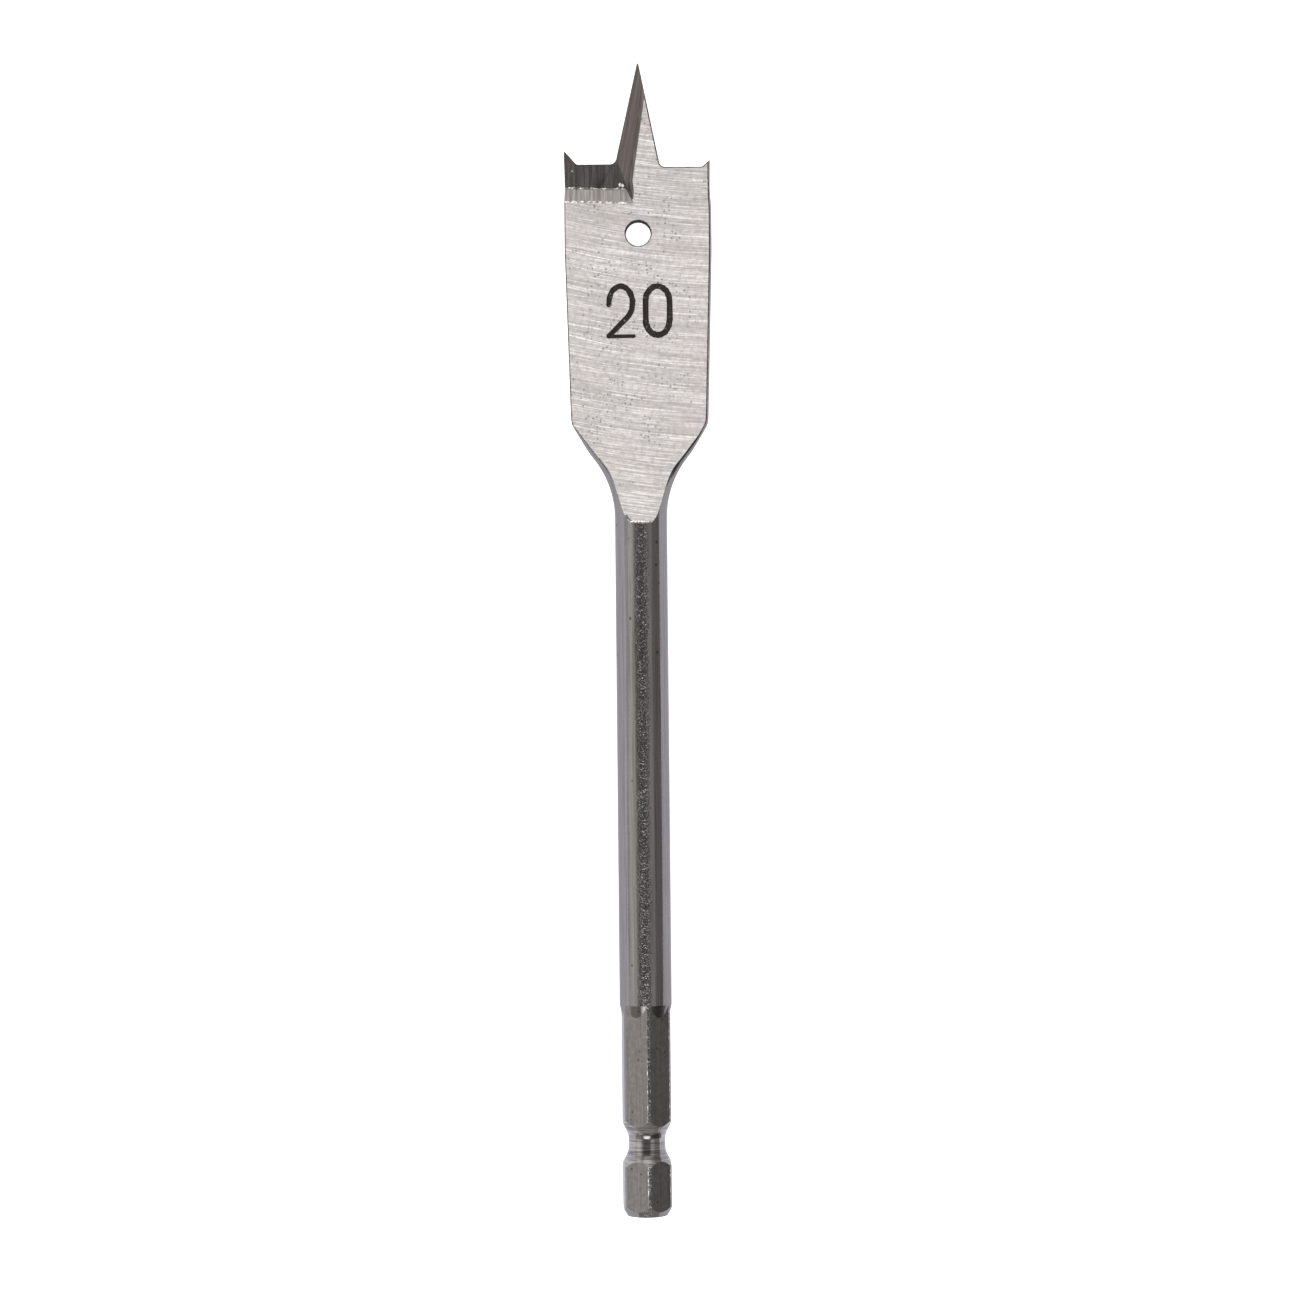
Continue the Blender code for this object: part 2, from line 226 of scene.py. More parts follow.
skin, tree, shader, place = new_finish("drawn_skin", 1.0)
along = turned(tree, place)
draw_marks = use(tree, lines, along, Per_metre_along=60.0, Per_metre_across=3300.0)["Value"]
mottle = noise(tree, place, 3000.0, Detail=2.0, Roughness=0.6)
dents = use(tree, pits, place, Per_metre=2500.0, Size=0.42, Share=0.35)["Mask"]
flaws = use(tree, pits, place, Per_metre=520.0, Size=0.16, Share=0.30, Seed=4.0)["Mask"]
round_the_bar = add(tree, "ShaderNodeSeparateXYZ", {0: along}).outputs["Y"]
from_top_strip = math(tree, "ABSOLUTE", math(tree, "SUBTRACT", round_the_bar, TOP_STRIP_PLACE))
waver = noise(tree, place, 700.0, Detail=3.0)
from_top_strip = math(tree, "ADD", from_top_strip, math(tree, "MULTIPLY", waver, TOP_STRIP_WIDTH))
top_strip = fade(tree, from_top_strip, 1.9 * TOP_STRIP_WIDTH, 1.2 * TOP_STRIP_WIDTH, low=0.08)
streaks = fade(tree, draw_marks, 0.54, 0.34, high=0.75)
colour = blend(tree, streaks, SKIN_COLOUR, SKIN_DARK)
sunk = math(tree, "MULTIPLY", math(tree, "MULTIPLY", dents, top_strip), 0.6)
colour = blend(tree, math(tree, "MAXIMUM", sunk, flaws), colour, PIT_COLOUR)
# Painted glints: near-white flecks in the strip along the top of the shaft stand in for the sparkle that its
# pits and scratches catch.
grain = noise(tree, place, 3300.0, Detail=3.0, Roughness=0.7, Distortion=1.0)
painted_glints = fade(tree, grain, 0.55, 0.75)
painted_glints = math(tree, "MULTIPLY", painted_glints, top_strip)
colour = blend(tree, painted_glints, colour, GLINT_COLOUR)
tree.links.new(colour, shader.inputs["Base Color"])
rough = fade(tree, mottle, 0.0, 1.0, low=0.08, high=0.16)
rough = math(tree, "ADD", rough, math(tree, "MULTIPLY", painted_glints, 0.45))
tree.links.new(rough, shader.inputs["Roughness"])
shader.inputs["Specular Tint"].default_value = GRAZING_TINT
height = math(tree, "MULTIPLY", math(tree, "SUBTRACT", mottle, 0.5), 2.2)
height = math(tree, "SUBTRACT", height, dents)
height = math(tree, "ADD", math(tree, "MULTIPLY", height, top_strip), math(tree, "MULTIPLY", draw_marks, 0.10))
emboss(tree, shader, height, strength=1.0, distance=0.00004)

turned_steel, tree, shader, place = new_finish("turned_steel", 1.0)
rings = add(tree, "ShaderNodeMapping", {"Vector": place, "Scale": (250.0, 4200.0, 250.0)}).outputs[0]
ring_noise = noise(tree, rings, 1.0, Detail=2.0)
shade = fade(tree, ring_noise, 0.35, 0.62)
colour = blend(tree, shade, TURNED_DARK, TURNED_COLOUR)
tree.links.new(colour, shader.inputs["Base Color"])
shader.inputs["Roughness"].default_value = 0.13
emboss(tree, shader, ring_noise, strength=0.22, distance=0.00003)


def start_mesh(name):
    """An empty mesh at the origin, open in edit mode, for primitives to be added to."""
    bpy.ops.object.select_all(action="DESELECT")
    bpy.ops.mesh.primitive_plane_add(enter_editmode=True)
    bpy.ops.mesh.delete(type="VERT")
    bpy.context.object.name = name
    return bpy.context.object


def swell(distance, growth):
    """Draws the end of the bar on by a distance, and scales its round end face."""
    bpy.ops.mesh.extrude_region_move(TRANSFORM_OT_translate={"value": (0, distance, 0)})
    bpy.ops.transform.resize(value=(growth, 1, growth))


flank_radius = GROOVE_RADIUS + GROOVE_FILLET * (1 - cos(GROOVE_FLANK_ANGLE))
half_groove = []
for step in range(GROOVE_STEPS + 1):
    angle = GROOVE_FLANK_ANGLE * step / GROOVE_STEPS
    away = GROOVE_BOTTOM_LENGTH / 2 + GROOVE_FILLET * sin(angle)
    half_groove.append((away, GROOVE_RADIUS + GROOVE_FILLET * (1 - cos(angle))))
flank_length = (SHAFT_RADIUS - flank_radius) / tan(GROOVE_FLANK_ANGLE)
half_groove.append((half_groove[-1][0] + flank_length, SHAFT_RADIUS))
profile = [(0.0, END_FACE_RADIUS), (END_CHAMFER_LENGTH, SHAFT_RADIUS)]
profile += [(GROOVE_CENTRE - away, radius) for away, radius in reversed(half_groove)]
profile += [(GROOVE_CENTRE + away, radius) for away, radius in half_groove]

bit = start_mesh("spade_bit_finished")
bit.data.materials.append(skin)
bit.data.materials.append(turned_steel)
bpy.ops.mesh.primitive_circle_add(
    vertices=BAR_SIDES, radius=END_FACE_RADIUS, fill_type="NGON", rotation=(pi / 2, pi / BAR_SIDES, 0)
)
for (y, radius), (next_y, next_radius) in zip(profile, profile[1:]):
    swell(next_y - y, next_radius / radius)

# The forged blade
# The bar's other end is flattened hot in a die, so it flares through round shoulders into the blade, and its
# sides stay round. It keeps the bar's dark skin where no wheel reaches it afterwards.
OVERALL_LENGTH = 0.1563
SPIKE_LENGTH = 0.01395
BLADE_LENGTH = 0.0357
BLADE_WIDTH = 0.020
FORGED_THICKNESS = 0.0030
FLATTENING_LENGTH = 0.0070
SHOULDER_ANGLE = radians(37.3)
SHOULDER_FILLET = 0.013
SHOULDER_STEPS = 28
SIDE_ALLOWANCE = 0.0011
SIDE_PARALLEL_LENGTH = 0.01135
SIDE_TAPER = radians(1.6)

lip = OVERALL_LENGTH - SPIKE_LENGTH
shoulder_corner = lip - BLADE_LENGTH
taper_start = lip - SIDE_PARALLEL_LENGTH
corner_half_width = BLADE_WIDTH / 2 - (taper_start - shoulder_corner) * tan(SIDE_TAPER)
fillet_rise = SHOULDER_FILLET * (1 - cos(SHOULDER_ANGLE))
slope_start = shoulder_corner - (corner_half_width - SHAFT_RADIUS - fillet_rise) / tan(SHOULDER_ANGLE)
flare_start = slope_start - SHOULDER_FILLET * sin(SHOULDER_ANGLE)
full_half_width = BLADE_WIDTH / 2 + SIDE_ALLOWANCE
flare = []
for step in range(SHOULDER_STEPS + 1):
    angle = SHOULDER_ANGLE * step / SHOULDER_STEPS
    flare.append(
        (flare_start + SHOULDER_FILLET * sin(angle), SHAFT_RADIUS + SHOULDER_FILLET * (1 - cos(angle)))
    )
flare.append((slope_start + (full_half_width - flare[-1][1]) / tan(SHOULDER_ANGLE), full_half_width))
flare.append((OVERALL_LENGTH, full_half_width))

last_y, last_height, last_spread = profile[-1][0], SHAFT_RADIUS, 0.0
for y, half_width in flare:
    done = min((y - flare_start) / FLATTENING_LENGTH, 1.0)
    half_height = SHAFT_RADIUS + done * done * (3 - 2 * done) * (FORGED_THICKNESS / 2 - SHAFT_RADIUS)
    growth = half_height / last_height
    swell(y - last_y, growth)
    spread = half_width - half_height
    end = [point for point in bmesh.from_edit_mesh(bit.data).verts if point.select]
    for side in (1, -1):
        for point in end:
            point.select = point.co.x * side > 0
        bpy.ops.transform.translate(value=(side * (spread - last_spread * growth), 0, 0))
    for point in end:
        point.select = True
    bmesh.from_edit_mesh(bit.data).select_flush(True)
    last_y, last_height, last_spread = y, half_height, spread
bpy.ops.mesh.select_mode(type="FACE")
bpy.ops.mesh.select_all(action="DESELECT")
for face in bmesh.from_edit_mesh(bit.data).faces:
    face.select_set(profile[2][0] < face.calc_center_median().y < profile[-1][0])
bit.active_material_index = 1
bpy.ops.object.material_slot_assign()
bpy.ops.mesh.select_mode(type="VERT")
bpy.ops.mesh.select_all(action="SELECT")
bpy.ops.mesh.normals_make_consistent(inside=False)
bpy.ops.object.mode_set(mode="OBJECT")

# The milled hex
# The flats of the quarter-inch hex are milled on the turned shank. They leave the bar's skin on the hex's
# corners, and run out in shallow scallops where the cutter's cone meets the round shaft.
HEX_ACROSS_FLATS = 0.00635
HEX_LENGTH = 0.0270
HEX_RUN_OUT = 0.00165
HEX_TURN = radians(6)
CLEAR = 0.003
MILLED_COLOUR = (0.225, 0.213, 0.207, 1.0)

milled, tree, shader, place = new_finish("milled_flats", 1.0)
along = turned(tree, place)
feed = use(tree, lines, along, Per_metre_along=120.0, Per_metre_across=3600.0, Seed=4.0)["Value"]
mottle = noise(tree, place, 1500.0, Detail=4.0, Roughness=0.7)
dents = use(tree, pits, place, Per_metre=900.0, Size=0.20, Share=0.40, Seed=2.0)["Mask"]
stain = fade(tree, mottle, 0.60, 0.40, high=0.55)
colour = blend(tree, stain, MILLED_COLOUR, SKIN_DARK)
streak = fade(tree, feed, 0.52, 0.36, high=0.6)
colour = blend(tree, streak, colour, SKIN_DARK)
colour = blend(tree, dents, colour, PIT_COLOUR)
tree.links.new(colour, shader.inputs["Base Color"])
rough = fade(tree, feed, 0.0, 1.0, low=0.12, high=0.22)
tree.links.new(rough, shader.inputs["Roughness"])
shader.inputs["Specular Tint"].default_value = GRAZING_TINT
height = math(tree, "ADD", feed, mottle)
height = math(tree, "SUBTRACT", height, dents)
emboss(tree, shader, height, strength=0.5, distance=0.00003)


def finish_mesh(finish):
    """Closes a cutter's edit mode, points its faces outwards and gives it the finish that it leaves."""
    bpy.ops.mesh.select_all(action="SELECT")
    bpy.ops.mesh.normals_make_consistent(inside=False)
    bpy.ops.object.mode_set(mode="OBJECT")
    bpy.context.object.data.materials.append(finish)
    return bpy.context.object


def cut(cutter, body=bit, operation="DIFFERENCE"):
    """Takes the cutter away from the body, which keeps the cutter's finish on the new faces."""
    boolean = body.modifiers.new(cutter.name, "BOOLEAN")
    boolean.operation = operation
    boolean.solver = "MANIFOLD"
    boolean.material_mode = "TRANSFER"
    boolean.object = cutter
    bpy.ops.object.select_all(action="DESELECT")
    body.select_set(True)
    bpy.context.view_layer.objects.active = body
    bpy.ops.object.modifier_apply(modifier=boolean.name)
    bpy.data.objects.remove(cutter)


flat = HEX_ACROSS_FLATS / 2
cone_slope = (SHAFT_RADIUS - flat) / HEX_RUN_OUT
outer_radius = SHAFT_RADIUS + CLEAR
inner_radius = flat - CLEAR
outer_y = HEX_LENGTH + (outer_radius - flat) / cone_slope
inner_y = HEX_LENGTH + (inner_radius - flat) / cone_slope
start_mesh("hex_sleeve")
bpy.ops.mesh.primitive_circle_add(
    vertices=BAR_SIDES,
    radius=outer_radius,
    fill_type="NGON",
    location=(0, -CLEAR, 0),
    rotation=(pi / 2, 0, 0),
)
swell(outer_y + CLEAR, 1.0)
swell(inner_y - outer_y, inner_radius / outer_radius)
sleeve = finish_mesh(milled)
start_mesh("hex_bar")
bpy.ops.mesh.primitive_cylinder_add(
    vertices=6,
    radius=flat / cos(pi / 6),
    depth=2 * outer_y + 4 * CLEAR,
    location=(0, 0, 0),
    rotation=(pi / 2, HEX_TURN, 0),
)
cut(finish_mesh(milled), sleeve)
cut(sleeve)

# The ground faces
# A wheel is fed along both sides of the blade and lifted over the shoulders, where it leaves a tongue of
# bright steel with a ragged end. Its grit leaves long fine scratches that bow a little across the blade.
BLADE_THICKNESS = 0.0026
FACE_WHEEL_RADIUS = 0.025
FACE_FLAT_SHORTFALL = 0.0032
FACE_END_STEP = 0.0004
FACE_END_ANGLE = radians(60)
WHEEL_STEPS = 40
GROUND_COLOUR = (0.70, 0.665, 0.655, 1.0)
GROUND_SHADE = (0.53, 0.50, 0.49, 1.0)
GROUND_TINT = (0.80, 0.63, 0.64, 1.0)
GROUND_DARK = (0.24, 0.225, 0.22, 1.0)
GROUND_LIGHT = (1.0, 0.97, 0.95, 1.0)
SHOULDER_SHADE = (0.103, 0.097)
LIP_SHADE = (0.130, 0.138)
TONGUE_END = 0.0940
TONGUE_HALF = 0.0021
TONGUE_ROUNDING = 0.0009
TONGUE_RAGGED = 0.0007
TONGUE_OFF_AXIS = 0.0002

ground, tree, shader, place = new_finish("ground_face", 0.45)
spots = add(tree, "ShaderNodeSeparateXYZ", {0: place}).outputs
broad = use(
    tree, lines, place, Per_metre_along=42.0, Per_metre_across=1250.0, Slope=0.16, Bow=-5.5
)["Value"]
fine = use(
    tree, lines, place, Per_metre_along=36.0, Per_metre_across=3500.0, Slope=0.15, Bow=-5.0, Seed=3.0
)["Value"]
crossing = use(
    tree, lines, place, Per_metre_along=22.0, Per_metre_across=2400.0, Slope=0.13, Bow=-4.5, Seed=7.0
)["Value"]
from_dark = math(tree, "ABSOLUTE", math(tree, "SUBTRACT", fine, 0.5))
dark_lines = fade(tree, from_dark, 0.030, 0.006)
from_light = math(tree, "ABSOLUTE", math(tree, "SUBTRACT", crossing, 0.5))
light_lines = fade(tree, from_light, 0.020, 0.006)
shades = fade(tree, broad, 0.36, 0.64)
hair = use(
    tree, lines, place, Per_metre_along=26.0, Per_metre_across=2100.0, Slope=0.18, Bow=-5.0, Seed=11.0
)["Value"]
hairs = fade(tree, hair, 0.64, 0.68)
wear = noise(tree, place, 1600.0, Detail=3.0, Roughness=0.7)
specks = use(tree, pits, place, Per_metre=900.0, Size=0.17, Share=0.45, Seed=1.0)["Mask"]
patches = noise(tree, place, 190.0, Detail=1.0)
worn_patch = fade(tree, patches, 0.51, 0.58)
gathered = use(tree, pits, place, Per_metre=2000.0, Size=0.42, Share=0.50, Seed=6.0)["Mask"]
gathered = math(tree, "MULTIPLY", gathered, worn_patch)
holes = math(tree, "MAXIMUM", specks, gathered)
off_middle = math(tree, "ABSOLUTE", math(tree, "SUBTRACT", spots["X"], TONGUE_OFF_AXIS))
off_middle = math(tree, "MINIMUM", math(tree, "DIVIDE", off_middle, TONGUE_HALF), 1.0)
off_middle = math(tree, "POWER", off_middle, 4.0)
past_end = math(tree, "SUBTRACT", spots["Y"], math(tree, "MULTIPLY", off_middle, TONGUE_ROUNDING))
skipping = fade(tree, past_end, TONGUE_END, TONGUE_END + TONGUE_RAGGED)
skipped = math(tree, "SUBTRACT", wear, skipping)
ragged = fade(tree, skipped, 0.34, 0.42)
colour = blend(tree, shades, GROUND_SHADE, GROUND_COLOUR)
tinge = fade(tree, patches, 0.55, 0.38, high=0.1)
colour = blend(tree, tinge, colour, GROUND_TINT)
# Painted shade: the face is painted darker over its tail, which leans up into the shoulder, and also darker
# towards the lips.
tail_painted_shade = fade(tree, spots["Y"], *SHOULDER_SHADE, high=0.8)
near_lips = fade(tree, spots["Y"], *LIP_SHADE, high=0.6)
colour = blend(tree, math(tree, "MAXIMUM", tail_painted_shade, near_lips), colour, GROUND_SHADE)
colour = blend(tree, math(tree, "MULTIPLY", dark_lines, 0.42), colour, GROUND_DARK)
colour = blend(tree, math(tree, "MULTIPLY", light_lines, 0.9), colour, GROUND_LIGHT)
colour = blend(tree, hairs, colour, GROUND_LIGHT)
grime = fade(tree, wear, 0.42, 0.72, high=0.45)
colour = blend(tree, grime, colour, GROUND_DARK)
colour = blend(tree, math(tree, "MULTIPLY", holes, 0.85), colour, PIT_COLOUR)
colour = blend(tree, ragged, colour, SKIN_DARK)
tree.links.new(colour, shader.inputs["Base Color"])
rough = fade(tree, fine, 0.0, 1.0, low=0.40, high=0.62)
rough = math(tree, "SUBTRACT", rough, math(tree, "MULTIPLY", ragged, 0.3))
tree.links.new(rough, shader.inputs["Roughness"])
height = math(tree, "ADD", fine, math(tree, "MULTIPLY", crossing, 0.8))
height = math(tree, "SUBTRACT", height, math(tree, "MULTIPLY", holes, 0.5))
emboss(tree, shader, height, strength=0.9, distance=0.00008)


def trace(points):
    """Draws a line in edit mode, by extruding one point from corner to corner."""
    bpy.ops.mesh.primitive_plane_add(size=CLEAR, location=points[0])
    bpy.ops.mesh.merge(type="CENTER")
    for here, there in zip(points, points[1:]):
        bpy.ops.mesh.extrude_vertices_move(TRANSFORM_OT_translate={"value": there - here})


def draw(outline):
    """Draws a closed outline in edit mode."""
    corners = [Vector(corner) for corner in outline]
    bpy.ops.mesh.select_all(action="DESELECT")
    trace(corners)
    drawn_points = bmesh.from_edit_mesh(bpy.context.object.data)
    drawn_points.verts.ensure_lookup_table()
    drawn_points.verts[-len(corners)].select = True
    bpy.ops.mesh.edge_face_add()


def solid(name, outlines, surface):
    """A cutter through two outlines of equally many corners, with the finish that it leaves."""
    start_mesh(name)
    for outline in outlines:
        draw(outline)
    bpy.ops.mesh.select_all(action="SELECT")
    bpy.ops.mesh.bridge_edge_loops()
    bpy.ops.mesh.select_all(action="SELECT")
    bpy.ops.mesh.fill_holes(sides=0)
    return finish_mesh(surface)


def half_turn(cutter):
    """The same cutter half a turn round the bit's axis, for the back."""
    cutter.data.transform(Matrix.Rotation(pi, 4, "Y"))
    return cutter


front = BLADE_THICKNESS / 2
cutter_top = OVERALL_LENGTH + CLEAR
cutter_side = BLADE_WIDTH / 2 + SIDE_ALLOWANCE + CLEAR


def face_cutter(name):
    """The face wheel's path: flat along the blade, then its own arc up into the shaft, and its edge."""
    rise = SHAFT_RADIUS - FACE_END_STEP - front
    arc_end_angle = acos(1 - rise / FACE_WHEEL_RADIUS)
    top = SHAFT_RADIUS + CLEAR
    path = [(cutter_top, front)]
    for step in range(WHEEL_STEPS + 1):
        angle = arc_end_angle * step / WHEEL_STEPS
        y = shoulder_corner - FACE_FLAT_SHORTFALL - FACE_WHEEL_RADIUS * sin(angle)
        path.append((y, front + FACE_WHEEL_RADIUS * (1 - cos(angle))))
    end_y, end_z = path[-1]
    path += [(end_y - (top - end_z) / tan(FACE_END_ANGLE), top), (cutter_top, top)]
    return solid(name, [[(x, y, z) for y, z in path] for x in (-cutter_side, cutter_side)], ground)


cut(face_cutter("front_face"))
cut(half_turn(face_cutter("back_face")))

# The ground sides
# Both sides of the blade are ground with relief behind their cutting corner. They run parallel below the
# lips, taper down to the shoulders and roll off into them.
SIDE_RELIEF = radians(6)
SIDE_ROLL_RADIUS = 0.003
SIDE_ROLL_ANGLE = radians(30)
SIDE_ROLL_START = 0.0016
SPUR_INSET_LENGTH = 0.0040
SPUR_INSET_BLEND = 0.0014
FRONT_SPUR_INSET = 0.0
BACK_SPUR_INSET = 0.0001
CORNER_STEPS = 16
EDGE_ROUNDING = 0.00016
EDGE_COLOUR = (0.225, 0.214, 0.21, 1.0)
EDGE_PAINTED_SHADE = (0.055, 0.051, 0.050, 1.0)

side_ground, tree, shader, place = new_finish("ground_sides", 0.9)
upright = rotated(tree, place, z=pi / 2)
strokes = use(tree, lines, upright, Per_metre_along=60.0, Per_metre_across=6000.0, Seed=9.0)["Value"]
dark_lines = fade(tree, strokes, 0.52, 0.30)
colour = blend(tree, math(tree, "MULTIPLY", dark_lines, 0.7), EDGE_COLOUR, PIT_COLOUR)
tree.links.new(colour, shader.inputs["Base Color"])
shader.inputs["Roughness"].default_value = 0.36
shader.inputs["Specular Tint"].default_value = GRAZING_TINT
emboss(tree, shader, strokes, strength=0.3, distance=0.00002)


def plan_cutter(name, outline_behind, surface):
    """A cutter right through the blade, from the plan outline at each distance behind the front face."""
    depths = (front + CLEAR, -front - CLEAR)
    return solid(name, [[(x, y, z) for x, y in outline_behind(front - z)] for z in depths], surface)


def side_cutter(name, spur_inset):
    """The ground left side: parallel at the top, tapered below, and rolled off into the shoulder."""

    def outline(behind):
        half = BLADE_WIDTH / 2 - behind * tan(SIDE_RELIEF)
        inset_end = lip - SPUR_INSET_LENGTH
        roll_start = shoulder_corner + SIDE_ROLL_START
        points = [(half - spur_inset, cutter_top), (half - spur_inset, inset_end)]
        points += [(half, inset_end - SPUR_INSET_BLEND), (half, taper_start)]
        half -= (taper_start - roll_start) * tan(SIDE_TAPER)
        for step in range(CORNER_STEPS + 1):
            angle = SIDE_TAPER + (SIDE_ROLL_ANGLE - SIDE_TAPER) * step / CORNER_STEPS
            x = half - SIDE_ROLL_RADIUS * (cos(SIDE_TAPER) - cos(angle))
            points.append((x, roll_start - SIDE_ROLL_RADIUS * (sin(angle) - sin(SIDE_TAPER))))
        leave = SIDE_ALLOWANCE + CLEAR
        x, y = points[-1]
        points.append((x - leave * sin(SIDE_ROLL_ANGLE), y - leave * cos(SIDE_ROLL_ANGLE)))
        points += [(cutter_side, points[-1][1]), (cutter_side, cutter_top)]
        return [(-x, y) for x, y in points]

    return plan_cutter(name, outline, side_ground)


cut(side_cutter("front_side", FRONT_SPUR_INSET))
cut(half_turn(side_cutter("back_side", BACK_SPUR_INSET)))

# The lips, the spurs and the spike
# The end is ground to two lips with a spur outside each and the centre spike between them. Every edge has
# relief behind it, and round corners where the wheels' edges passed.
LIP_RELIEF = radians(4)
FRONT_LIP_RISE = 0.0003
SPIKE_OFF_AXIS = 0.00017
SPIKE_HALF_ANGLE = radians(12)
SPIKE_TIP_WIDTH = 0.0003
SPIKE_RELIEF = radians(2.5)
SPIKE_FILLET = 0.0009
SPUR_FILLET = 0.0005
FRONT_SPUR_HEIGHT = 0.00190
FRONT_SPUR_ANGLE = radians(48)
BACK_SPUR_HEIGHT = 0.00105
BACK_SPUR_ANGLE = radians(43)


def rounded(corners):
    """A plan outline through corners (x, y, radius), each radius above zero drawn as a tangent arc."""
    outline = []
    for i, (x, y, radius) in enumerate(corners):
        corner = Vector((x, y))
        if radius == 0:
            outline.append(corner)
            continue
        back = (Vector(corners[i - 1][:2]) - corner).normalized()
        on = (Vector(corners[(i + 1) % len(corners)][:2]) - corner).normalized()
        half = back.angle(on) / 2
        centre = corner + (back + on).normalized() * radius / sin(half)
        first = corner + back * radius / tan(half) - centre
        last = corner + on * radius / tan(half) - centre
        turn = atan2(first.x * last.y - first.y * last.x, first.dot(last))
        for step in range(CORNER_STEPS + 1):
            outline.append(centre + Matrix.Rotation(turn * step / CORNER_STEPS, 2) @ first)
    return outline


def end_cutter(name, spur_height, spur_angle, spur_inset, lip_rise, apex_x):
    """The ground left half of the end: the spur's slope, the lip and the spike's edge, all relieved."""
    apex = OVERALL_LENGTH + SPIKE_TIP_WIDTH / 2 / tan(SPIKE_HALF_ANGLE)
    foot_x = BLADE_WIDTH / 2 - spur_inset - spur_height / tan(spur_angle)

    def outline(behind):
        lip_here = lip + lip_rise - behind * tan(LIP_RELIEF)
        relief = behind * tan(SPIKE_RELIEF)
        spike_x = (apex - lip_here) * tan(SPIKE_HALF_ANGLE) - relief
        corners = [
            (cutter_side, lip_here + (cutter_side - foot_x) * tan(spur_angle), 0),
            (foot_x, lip_here, SPUR_FILLET),
            (spike_x, lip_here, SPIKE_FILLET),
            (apex_x, apex - relief / tan(SPIKE_HALF_ANGLE), 0),
            (apex_x, cutter_top + cutter_side, 0),
            (cutter_side, cutter_top + cutter_side, 0),
        ]
        return [(-x, y) for x, y in rounded(corners)]

    return plan_cutter(name, outline, side_ground)


front_spur = (FRONT_SPUR_HEIGHT, FRONT_SPUR_ANGLE, FRONT_SPUR_INSET)
back_spur = (BACK_SPUR_HEIGHT, BACK_SPUR_ANGLE, BACK_SPUR_INSET)
cut(end_cutter("front_end", *front_spur, FRONT_LIP_RISE, -SPIKE_OFF_AXIS))
cut(half_turn(end_cutter("back_end", *back_spur, 0.0, SPIKE_OFF_AXIS)))


def mottled(name, metallic, scale, start, end, dark, light, roughness):
    """A finish that noise mottles with two colours."""
    finish, tree, shader, place = new_finish(name, metallic)
    worn = fade(tree, noise(tree, place, scale, Detail=2.0), start, end)
    tree.links.new(blend(tree, worn, dark, light), shader.inputs["Base Color"])
    shader.inputs["Roughness"].default_value = roughness
    return finish


# Painted shade: the rounded edges of the blade and the hole's rim are mottled near-black, for the dark line
# that a rounded edge shows.
edge_shade_finish = mottled("edges_painted_shade", 0.8, 2200.0, 0.52, 0.66, EDGE_PAINTED_SHADE, EDGE_COLOUR, roughness=0.45)
bit.data.materials.append(edge_shade_finish)


def ease(first, second, size, finish=edge_shade_finish, chosen=lambda edge: True):
    """Takes the sharpness off the chosen edges where two finishes meet."""
    bpy.ops.object.mode_set(mode="EDIT")
    bpy.ops.mesh.select_mode(type="EDGE")
    bpy.ops.mesh.select_all(action="DESELECT")
    slots = [material.name for material in bit.data.materials]
    for edge in bmesh.from_edit_mesh(bit.data).edges:
        met = {slots[face.material_index] for face in edge.link_faces}
        edge.select_set(met == {first.name, second.name} and chosen(edge))
    bpy.ops.mesh.bevel(offset=size, segments=2, material=slots.index(finish.name))
    bpy.ops.mesh.select_mode(type="VERT")
    bpy.ops.object.mode_set(mode="OBJECT")


ease(ground, side_ground, EDGE_ROUNDING)

# The notch in front of each lip
# A dressed wheel plunges a V notch in front of the lip, which sharpens it. The floor is fine and dark, the
# short lower wall is lighter, and the wheel's corner leaves a crest of chatter between them.
NOTCH_DEPTH_AT_LIP = 0.00040
NOTCH_DEPTH = 0.00095
NOTCH_FLOOR_LENGTH = 0.00283
NOTCH_WALL_LENGTH = 0.00195
NOTCH_SKEW = radians(1.5)
NOTCH_END_FROM_AXIS = 0.00064
NOTCH_END_ANGLE = radians(17.8)
NOTCH_END_LEAN = radians(12)
CHATTER = 0.00006
CHATTER_CUTS = 60
HOLLOW_COLOUR = (0.120, 0.107, 0.101, 1.0)
HOLLOW_LIGHT = (0.215, 0.200, 0.194, 1.0)


def stroked(name, metallic, roughness, turn, along, across, seed, light_at, dark, light):
    """A finish of a wheel's strokes in two colours, turned from the bit's axis."""
    finish, tree, shader, place = new_finish(name, metallic)
    across_bit = rotated(tree, place, z=turn)
    strokes = use(
        tree, lines, across_bit, Per_metre_along=along, Per_metre_across=across, Seed=seed
    )["Value"]
    shades = fade(tree, strokes, 0.40, light_at)
    tree.links.new(blend(tree, shades, dark, light), shader.inputs["Base Color"])
    shader.inputs["Roughness"].default_value = roughness
    emboss(tree, shader, strokes, strength=0.4, distance=0.00003)
    return finish


hollow = stroked(
    "hollow_ground", 1.0, 0.24, turn=pi / 2, along=160.0, across=2800.0, seed=5.0,
    light_at=0.60, dark=HOLLOW_COLOUR, light=HOLLOW_LIGHT,
)


